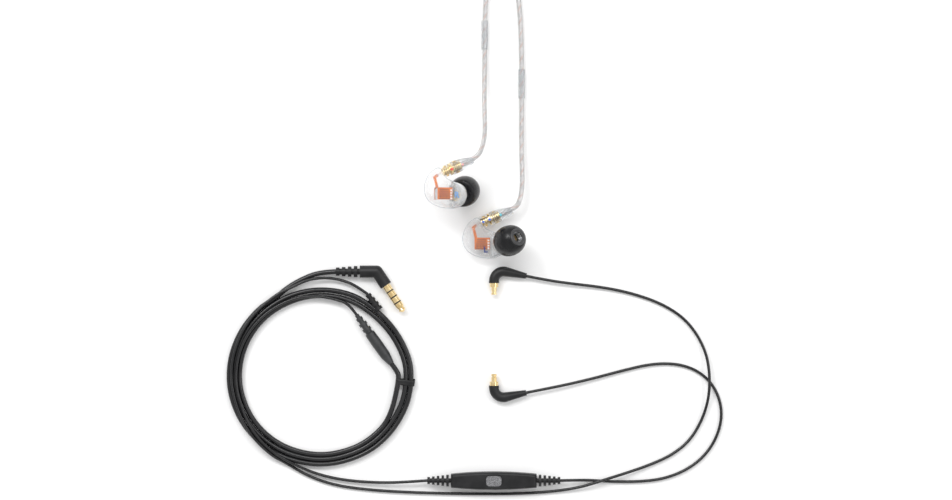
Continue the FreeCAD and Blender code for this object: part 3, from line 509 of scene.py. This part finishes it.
LOWER_LEAD = [
    (37.9, -120.9, 3.3), (44.6, -120.8, 2.6), (51.4, -120.9, 1.2), (61.0, -121.6, 0.8), (73.4, -121.6, 0.7),
    (84.0, -120.4, 0.7), (94.0, -116.6, 0.7), (102.4, -110.2, 0.7), (108.0, -101.4, 0.7),
    (110.2, -91.6, 0.7), (108.2, -82.4, 0.7), (103.4, -75.4, 0.7), (96.3, -70.8, 0.7), (87.6, -68.9, 0.7),
    (77.4, -69.4, 0.7), (65.6, -72.2, 0.8), (54.0, -75.3, 1.2), (43.0, -77.9, 1.8), (32.8, -80.0, 2.3),
    (22.87, -81.93, 2.3)]

# Everything winds anticlockwise. The trunk goes round nearly three times, side by side, from the outside in,
# and ends in the tail of the split.
phone_trunk_points = PLUG_LEAD + coil_points(PHONE_COIL_CENTRE, [
    (132, 39.7, 1.95), (190, 39.9, 1.95), (250, 39.2, 1.95), (300, 40.0, 1.95), (340, 40.9, 1.95),
    (372, 40.8, 1.95), (395, 39.3, 1.95), (420, 38.8, 1.95), (450, 38.0, 1.95), (480, 37.4, 1.95),
    (550, 37.5, 1.95), (610, 36.95, 1.95), (660, 37.75, 1.95), (700, 38.6, 1.95), (732, 38.5, 1.95),
    (755, 37.0, 1.95), (780, 36.3, 1.95), (840, 35.1, 1.95), (910, 35.1, 1.95), (970, 34.7, 1.95),
    (1015, 35.4, 1.95), (1050, 36.3, 2.1), (1068, 36.2, 2.3)], PHONE_PER_TURN)
phone_trunk_points += [(-33.5, -75.0, 2.4), (-34.9, -72.0, 2.4), SPLIT_END, (-38.4, -67.2, 2.4)]
arc_points = ARC + coil_points(PHONE_COIL_CENTRE, [
    (118, 40.3, 3.7), (160, 38.9, 3.8), (200, 38.5, 3.8), (238, 40.4, 3.5), (246, 41.1, 2.6)],
    PHONE_PER_TURN) + UPPER_LEAD
remote_points = [SPLIT_START, (-55.1, -43.8, 2.8)] + coil_points(PHONE_COIL_CENTRE, [
    (72, 34.5, 3.3), (110, 36.2, 3.9), (160, 37.0, 3.9), (210, 37.0, 3.9), (240, 39.0, 3.8),
    (252, 40.4, 3.5)], PHONE_PER_TURN) + REMOTE_LEAD
phone_trunk = make_cord("phone_trunk_cord", phone_trunk_points, PHONE_TRUNK_DIAMETER, cord_black,
                        "phone_cable")
upper_branch = make_cord("phone_upper_cord", arc_points, BRANCH_DIAMETER, cord_black, "phone_cable")
remote_branch = make_cord("phone_remote_cord", remote_points, BRANCH_DIAMETER, cord_black, "phone_cable")
lower_branch = make_cord("phone_lower_cord", LOWER_LEAD, BRANCH_DIAMETER, cord_black, "phone_cable")
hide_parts("phone_plug_lead", "phone_coil")
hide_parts("phone_arc", "phone_lead_upper")
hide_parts("phone_lead_remote")
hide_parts("phone_lead_lower")

TRUNK_CORE_SCALE, TRUNK_CORE_STEP = 1.2, 0.0009
add_core("clear_trunk", trunk, TRUNK_CORE_SCALE, "clear_cable", TRUNK_CORE_STEP)


# ---------------------------------------------------------------- bundle ties

TIE_STEPS, TIE_BASE, TIE_CORNERS = 120, 0.8, 3.2
TIE_MARGIN_WIDE, TIE_MARGIN_HIGH, TIE_INSET = 0.4, 0.35, 0.3
SECOND_WRAP_LIFT, WRAP_SHIFT = 0.12, 1.9
STRAP_SECTION = [(-0.26, -0.75), (0.26, -0.75), (0.26, 0.75), (-0.26, 0.75)]


def add_tie(name, centre, inner, outer, height, angle, node, body):
    """A flat tie, wrapped twice round the wound cord, with its end tucked flat."""
    turn = math.radians(angle)
    out = Vector((math.cos(turn), math.sin(turn), 0))
    side = Vector((-math.sin(turn), math.cos(turn), 0))
    middle = Vector((centre[0], centre[1], 0)) + out * (inner + outer) / 2
    middle += Vector((0, 0, TIE_BASE + height / 2))
    half_wide, half_high = (outer - inner) / 2 + TIE_MARGIN_WIDE, height / 2 + TIE_MARGIN_HIGH
    band = rounded_profile(STRAP_SECTION, 2)
    points, faces = [], []
    for number in range(TIE_STEPS):
        share = number / (TIE_STEPS - 1)
        around = 4 * math.pi * share
        c, s = math.cos(around), math.sin(around)
        reach = (abs(c) ** TIE_CORNERS + abs(s) ** TIE_CORNERS) ** (-1 / TIE_CORNERS)
        grow = 0.0 if share < 0.5 else SECOND_WRAP_LIFT
        across = (share - 0.5) * WRAP_SHIFT
        radial = out * c * reach * (half_wide - TIE_INSET + grow)
        radial += Vector((0, 0, s * reach * (half_high - TIE_INSET + grow)))
        away = (out * c + Vector((0, 0, s))).normalized()
        for thick, wide in band:
            points.append((middle + radial + away * thick + side * (wide + across)) * MM)
    count = len(band)
    for number in range(TIE_STEPS - 1):
        for k in range(count):
            up = (k + 1) % count
            faces.append((number * count + k, (number + 1) * count + k, (number + 1) * count + up,
                          number * count + up))
    faces += [tuple(reversed(range(count))), tuple((TIE_STEPS - 1) * count + k for k in range(count))]
    tie = add_mesh(name, points, faces, moulding_black, body)
    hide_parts(node)
    return tie


clear_tie = add_tie("clear_tie", CLEAR_COIL_CENTRE, 9, 19.4, 9.2, 90, "clear_coil_tie", "clear_cable")
phone_tie = add_tie("phone_tie", PHONE_COIL_CENTRE, 34.7, 42.4, 2.7, -4, "phone_coil_tie", "phone_cable")


# ---------------------------------------------------------------- foam sleeves

FOAM = [(2.92, 0.1), (5.4, 0.05), (6.25, 0.9), (6.72, 3.2), (6.78, 5.2), (6.48, 7.4), (5.7, 9.35), (4.65, 10.7),
        (3.8, 11.2), (2.92, 11.2)]
FRONT_RING = [(2.96, 10.7), (3.85, 10.7), (3.85, 11.55), (2.96, 11.55)]
NOZZLE_BASE, NOZZLE_WAY = (6.8, -0.3, 3.6), (0.55, 0.25, 0.797)
SLEEVE_AT, FOAM_STEPS = 2.8, 120
# The skin's uneven grain starts outside this radius.
SKIN_RADIUS, SKIN_GRAIN = 4.2, 0.05
THREAD_TURNS, THREAD_STEPS, THREAD_RADIUS, THREAD_START, THREAD_RISE, THREAD_WIRE = 4, 180, 2.2, 8.2, 2.8, 0.13


def smooth_profile(corners, cuts):
    """Softens the outer line and keeps its two ends."""
    for _ in range(cuts):
        softer = [corners[0]]
        for here, after in zip(corners, corners[1:]):
            softer.append((0.75 * here[0] + 0.25 * after[0], 0.75 * here[1] + 0.25 * after[1]))
            softer.append((0.25 * here[0] + 0.75 * after[0], 0.25 * here[1] + 0.75 * after[1]))
        corners = softer + [corners[-1]]
    return corners


for ear, facing in FACING.items():
    base = Vector((*NOZZLE_BASE[:2], NOZZLE_BASE[2] * facing))
    turn = Vector((*NOZZLE_WAY[:2], NOZZLE_WAY[2] * facing)).normalized()
    start = ear_point(ear, base + turn * SLEEVE_AT)
    place = frame_along(start, ear_direction(ear, turn))
    profile = smooth_profile(FOAM, 3)
    points, faces = lathe(profile, FOAM_STEPS, place, closed=True)
    axis_point, axis = place.translation, place.to_3x3() @ Vector((0, 0, 1))
    for number, point in enumerate(points):
        away = (point - axis_point) - axis * (point - axis_point).dot(axis)
        if away.length > SKIN_RADIUS * MM:
            points[number] = point - away.normalized() * random.random() * SKIN_GRAIN * MM
    foam = add_mesh(f"{ear}_foam", points, faces, foam_black, f"{ear}_sleeve")
    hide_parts(f"{ear}_sleeve_foam")
    points, faces = lathe(rounded_profile(FRONT_RING), 72, place, closed=True)
    add_mesh(f"{ear}_front_ring", points, faces, core_grey, f"{ear}_sleeve")
    thread = []
    for number in range(THREAD_STEPS + 1):
        share = number / THREAD_STEPS
        around = 2 * math.pi * THREAD_TURNS * share
        thread.append(place @ (Vector((THREAD_RADIUS * math.cos(around), THREAD_RADIUS * math.sin(around),
                                       THREAD_START + THREAD_RISE * share)) * MM))
    points, faces = sweep([thread], THREAD_WIRE * MM, 8)
    add_mesh(f"{ear}_bore_thread", points, faces, can_metal, f"{ear}_sleeve")


# ---------------------------------------------------------------- small details of the earphones

def slab(centre, size, turn, bevel=0.25):
    """A small chamfered slab: points and faces in an earphone's own millimetres."""
    hx, hy, hz = (s / 2 for s in size)
    edge = min(hx, hy, hz) * 2 * bevel
    rings = [(-hz, edge), (-hz + edge, 0), (hz - edge, 0), (hz, edge)]
    points, faces = [], []
    for z, inset in rings:
        x, y, c = hx - inset, hy - inset, min(hx, hy) * 0.3
        for px, py in ((x - c, -y), (x, -y + c), (x, y - c), (x - c, y), (-x + c, y), (-x, y - c), (-x, -y + c),
                       (-x + c, -y)):
            points.append(Vector((px, py, z)))
    for ring in range(3):
        for k in range(8):
            up = (k + 1) % 8
            faces.append((ring * 8 + k, ring * 8 + up, ring * 8 + 8 + up, ring * 8 + 8 + k))
    faces += [tuple(reversed(range(8))), tuple(24 + k for k in range(8))]
    matrix = Matrix.Rotation(math.radians(turn), 3, "Z")
    return [matrix @ p + Vector(centre) for p in points], faces


def add_slabs(name, ear, slabs, material, body):
    """Several slabs as one piece: (centre, size, turn in degrees) each."""
    points, faces = [], []
    for centre, size, turn in slabs:
        more, rows = slab(centre, size, turn)
        faces += [tuple(len(points) + k for k in row) for row in rows]
        points += [ear_point(ear, p) * MM for p in more]
    return add_mesh(name, points, faces, material, body, smooth=False)


DOT_STEPS = 28


def add_dot(name, ear, local, normal, radius, material, body):
    """A low domed paint dot, sunk a little into what it sits on."""
    profile = [(radius, -0.15), (radius, 0.0), (radius * 0.93, 0.04), (radius * 0.78, 0.075),
               (radius * 0.55, 0.1), (radius * 0.28, 0.115)]
    place = frame_along(ear_point(ear, local), ear_direction(ear, normal))
    points, faces = lathe(profile, DOT_STEPS, place)
    count = len(profile)
    faces += [tuple(k * count for k in reversed(range(DOT_STEPS))),
              tuple(k * count + count - 1 for k in range(DOT_STEPS))]
    add_mesh(name, points, faces, material, body)


def add_band(name, start, direction, height, radius, width, material, body):
    """A thin ring that stands a hair proud of a round pin."""
    half = width / 2
    profile = [(radius - 0.2, -half), (radius + 0.01, -half), (radius + 0.035, -half * 0.6),
               (radius + 0.035, half * 0.6), (radius + 0.01, half), (radius - 0.2, half)]
    place = frame_along(Vector(start) + Vector(direction).normalized() * height, direction)
    points, faces = lathe(profile, 48, place, closed=True)
    add_mesh(name, points, faces, material, body)


# Side marks: colour, distance along the connector, height over its axis, radius. The second is on the boot,
# the others are on the jack.
SIDE_MARKS = {
    "right": [("red", 4.15, 2.6, 0.68), ("pink", 9.4, 2.66, 0.5)],
    "left": [("blue", 4.15, 2.6, 0.68), ("teal", 9.4, 2.66, 0.62), ("blue", 1.15, 1.78, 0.6)],
}
# The drivers' upper side, and the flexible circuit's thickness on it.
DRIVER_TOPS, FLEX_THICKNESS = {"right": 2.95, "left": 2.7}, 0.12
HOOK_STEPS, HOOK_RADIUS = 24, 0.09
UP = Vector((0, 0, 1))
ACROSS = Vector((-CONNECTOR.y, CONNECTOR.x, 0))
for ear, facing in FACING.items():
    body = f"{ear}_earphone"
    # traces and contact pads on the upper side of the flexible circuit
    face = DRIVER_TOPS[ear] + FLEX_THICKNESS
    traces = [((-1.4, -1.9 + 0.78 * k, face + 0.04), (5.0 if k < 4 else 4.2, 0.26, 0.1), 0) for k in range(6)]
    traces += [((-3.1 + 1.3 * k, -1.0, face + 0.06), (0.16, 2.1, 0.12), 0) for k in range(3)]
    add_slabs(f"{ear}_traces", ear, traces, trace_brown, body)
    pads = [((1.65, -1.75 + 1.15 * k, face + 0.07), (0.85, 0.7, 0.14), 0) for k in range(4)]
    add_slabs(f"{ear}_pads", ear, pads, pad_metal, body)
    # three fine wires from the tail of the circuit to the jack
    wires = []
    for k in range(3):
        start = Vector((-3.5 - 0.35 * k, 7.6 + 0.1 * k, 0.15 * facing))
        end = JACK_START + CONNECTOR * 0.2 + Vector((-0.3 * k, 0.35 * (k - 1), 0.35 * (k - 1)))
        lift = Vector((-0.6, 0.5, 0.8 + 0.3 * k))
        line = []
        for number in range(HOOK_STEPS + 1):
            t = number / HOOK_STEPS
            local = start * (1 - t) ** 2 + (start + end + lift * 2) * t * (1 - t) + end * t**2
            line.append(ear_point(ear, local) * MM)
        wires.append(line)
    points, faces = sweep(wires, HOOK_RADIUS * MM, 8)
    add_mesh(f"{ear}_hook_wires", points, faces, copper_wire, body)
    # coloured side marks on the jack and the boot
    for number, (colour, distance, height, size) in enumerate(SIDE_MARKS[ear]):
        place = JACK_START + CONNECTOR * distance + UP * height
        on_boot = number == 1
        add_dot(f"{ear}_mark_{number + 1}", ear, place, UP, size, MARKS[colour],
                "clear_cable" if on_boot else body)
    # gold lugs beside the jack, and dark slots in the jack's barrel and dark grooves round the plug's collar:
    # slabs and thin proud rings coloured as painted shade for those recesses
    lugs = [(tuple(JACK_START + CONNECTOR * 2.0 + ACROSS * 2.1 * sign), (1.3, 0.6, 0.9), CONNECTOR_TURN)
            for sign in (1, -1)]
    add_slabs(f"{ear}_lugs", ear, lugs, gold, body)
    slots = [(tuple(JACK_START + CONNECTOR * (1.1 + 1.0 * k) + ACROSS * side + UP * 1.62), (0.34, 0.9, 0.3),
              CONNECTOR_TURN) for k in range(3) for side in (-0.6, 0.6)]
    add_slabs(f"{ear}_jack_slots", ear, slots, painted_slot_shade, body)
    tabs = [(tuple(JACK_START + CONNECTOR * 6.9 + ACROSS * 2.35 * sign), (1.5, 0.7, 0.8), CONNECTOR_TURN)
            for sign in (1, -1)]
    add_slabs(f"{ear}_plug_tabs", ear, tabs, gold, "clear_cable")
    for number in range(3):
        add_band(f"{ear}_collar_groove_{number + 1}", on_connector(ear, 5.9 + 0.8 * number),
                 ear_direction(ear, CONNECTOR), 0, 1.9, 0.3, painted_slot_shade, "clear_cable")

# the bonded seam between the two halves of each housing, whose darker bluish grey is partly the glue line and
# partly painted shade for the clear shell's dark refracted outline
HOUSING_OUTLINE = [
    (-9.8, 1.9), (-8.4, -2.0), (-5.4, -4.5), (-0.4, -6.0), (4.8, -5.8), (8.3, -3.7), (9.4, 0.2),
    (7.9, 3.7), (4.0, 5.4), (0.6, 6.9), (-1.2, 9.6), (-3.4, 11.6), (-6.6, 9.8), (-8.9, 6.3),
]


def closed_line(corners, per_side):
    """A smooth closed line through the corners."""
    line, count = [], len(corners)
    for k in range(count):
        a, b, c, d = (Vector(corners[(k + j) % count]) for j in (-1, 0, 1, 2))
        for number in range(per_side):
            t = number / per_side
            line.append(0.5 * (2 * b + (c - a) * t + (2 * a - 5 * b + 4 * c - d) * t**2
                               + (3 * b - a - 3 * c + d) * t**3))
    return line + line[:1]


for ear in FACING:
    outline = [ear_point(ear, (p.x * 0.998, p.y * 0.998, 0)) * MM for p in closed_line(HOUSING_OUTLINE, 12)]
    points, faces = sweep([outline], 0.13 * MM, 8)
    add_mesh(f"{ear}_seam", points, faces, seam_glue_and_edge_shade, f"{ear}_earphone")

# a generic side letter on each shell's upper face
LETTERS = {"right": ("R", (3.7, -0.4, 4.83)), "left": ("L", (0.4, -2.5, 4.83))}
for ear, (letter, local) in LETTERS.items():
    text = bpy.data.curves.new(f"{ear}_letter", "FONT")
    text.body = letter
    text.size, text.extrude, text.offset = 3.7 * MM, 0.02 * MM, 0.09 * MM
    text.align_x = text.align_y = "CENTER"
    item = bpy.data.objects.new(f"{ear}_letter", text)
    bpy.context.scene.collection.objects.link(item)
    text.materials.append(PRINTS[ear])
    item.matrix_world = PLACES[ear] @ Matrix.Translation(Vector(local) * MM)
    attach(item, f"{ear}_earphone")


# ---------------------------------------------------------------- plugs and remote

PIN_TURN, PIN_LENGTH, PIN_RADIUS, BAND_WIDTH = -56.3, 14.0, 1.75, 0.55
PIN_DIRECTION = Vector((math.cos(math.radians(PIN_TURN)), math.sin(math.radians(PIN_TURN)), 0))
PHONE_PIN_START = Vector((-31.7, -45.9, 2.7)) - PIN_DIRECTION * PIN_LENGTH
CLEAR_PIN_START = (-23.5, 144.0, 3.7)
for number, height in enumerate((3.1, 6.1, 9.1)):
    add_band(f"phone_pin_band_{number + 1}", PHONE_PIN_START, PIN_DIRECTION, height, PIN_RADIUS, BAND_WIDTH,
             moulding_black, "phone_cable")
for number, height in enumerate((4.2, 8.2)):
    add_band(f"clear_pin_band_{number + 1}", CLEAR_PIN_START, (0, -1, 0), height, PIN_RADIUS, BAND_WIDTH,
             moulding_black, "clear_cable")


def rounded_loop(half_long, half_wide, corner, steps=10):
    """A rounded rectangle as points."""
    points = []
    for cx, cy, start in ((half_long - corner, half_wide - corner, 0),
                          (-half_long + corner, half_wide - corner, 90),
                          (-half_long + corner, -half_wide + corner, 180),
                          (half_long - corner, -half_wide + corner, 270)):
        for k in range(steps + 1):
            turn = math.radians(start + 90 * k / steps)
            points.append((cx + corner * math.cos(turn), cy + corner * math.sin(turn)))
    return points


def add_rim(name, centre, half_long, half_wide, corner, section, material, body):
    """A moulded rim: a small section carried round a rounded rectangle."""
    points, faces = [], []
    loop_length = 0
    for push, height in section:
        loop = rounded_loop(half_long + push, half_wide + push, corner + push)
        loop_length = len(loop)
        points += [(Vector((x, y, height)) + Vector(centre)) * MM for x, y in loop]
    for ring in range(len(section)):
        above = (ring + 1) % len(section)
        for k in range(loop_length):
            after = (k + 1) % loop_length
            faces.append((ring * loop_length + k, ring * loop_length + after, above * loop_length + after,
                          above * loop_length + k))
    add_mesh(name, points, faces, material, body)


REMOTE = (8.4, -120.9, 0.0)
add_rim("remote_key_rim", REMOTE, 3.65, 2.55, 1.8,
        [(0.0, 6.45), (0.02, 6.62), (0.15, 6.7), (0.38, 6.7), (0.52, 6.62), (0.56, 6.45)],
        moulding_black, "phone_cable")


# ---------------------------------------------------------------- floor, light and camera

CENTRE = Vector((0.5, -18.5, 0)) * MM
VIEW_WIDTH, DISTANCE, SENSOR = 424 * MM, 1.2, 36.0

floor_data = bpy.data.meshes.new("floor")
FLOOR_HALF, FLOOR_HEIGHT = 6, -0.0004
floor_data.from_pydata([(x * FLOOR_HALF, y * FLOOR_HALF, FLOOR_HEIGHT)
                        for x, y in ((-1, -1), (1, -1), (1, 1), (-1, 1))], [], [(0, 1, 2, 3)])
floor = bpy.data.objects.new("floor", floor_data)
bpy.context.scene.collection.objects.link(floor)
floor_data.materials.append(detail(shader("floor_paper", (0.92, 0.92, 0.92), 0.9),
                                   ((0.915, 0.915, 0.915), (0.925, 0.925, 0.925)), 3, (0.85, 0.95), 0))

world = bpy.data.worlds.new("studio")
bpy.context.scene.world = world
world.use_nodes = True
world.node_tree.nodes["Background"].inputs["Color"].default_value = (1, 1, 1, 1)
world.node_tree.nodes["Background"].inputs["Strength"].default_value = 0.72


def add_softbox(name, place, target, size, power):
    """A rectangular area light that faces a target."""
    data = bpy.data.lights.new(name, "AREA")
    data.shape, data.size, data.size_y, data.energy = "RECTANGLE", size[0], size[1], power
    item = bpy.data.objects.new(name, data)
    item.location = place
    item.rotation_euler = (Vector(target) - Vector(place)).to_track_quat("-Z", "Y").to_euler()
    bpy.context.scene.collection.objects.link(item)


add_softbox("key_softbox", (-0.50, 0.50, 0.80), CENTRE, (0.45, 0.3), 4.0)
add_softbox("fill_softbox", (0.75, 0.10, 0.75), CENTRE, (0.5, 0.3), 1.8)
add_softbox("top_softbox", (0.0, 0.62, 1.2), CENTRE, (0.9, 0.25), 5.5)

camera_data = bpy.data.cameras.new("camera")
camera_data.sensor_width = SENSOR
camera_data.lens = SENSOR * DISTANCE / VIEW_WIDTH
camera_data.clip_start, camera_data.clip_end = 0.01, 20
camera = bpy.data.objects.new("camera", camera_data)
camera.location = CENTRE + Vector((0, 0, DISTANCE))
bpy.context.scene.collection.objects.link(camera)
bpy.context.scene.camera = camera
bpy.context.scene.view_settings.view_transform = "Standard"
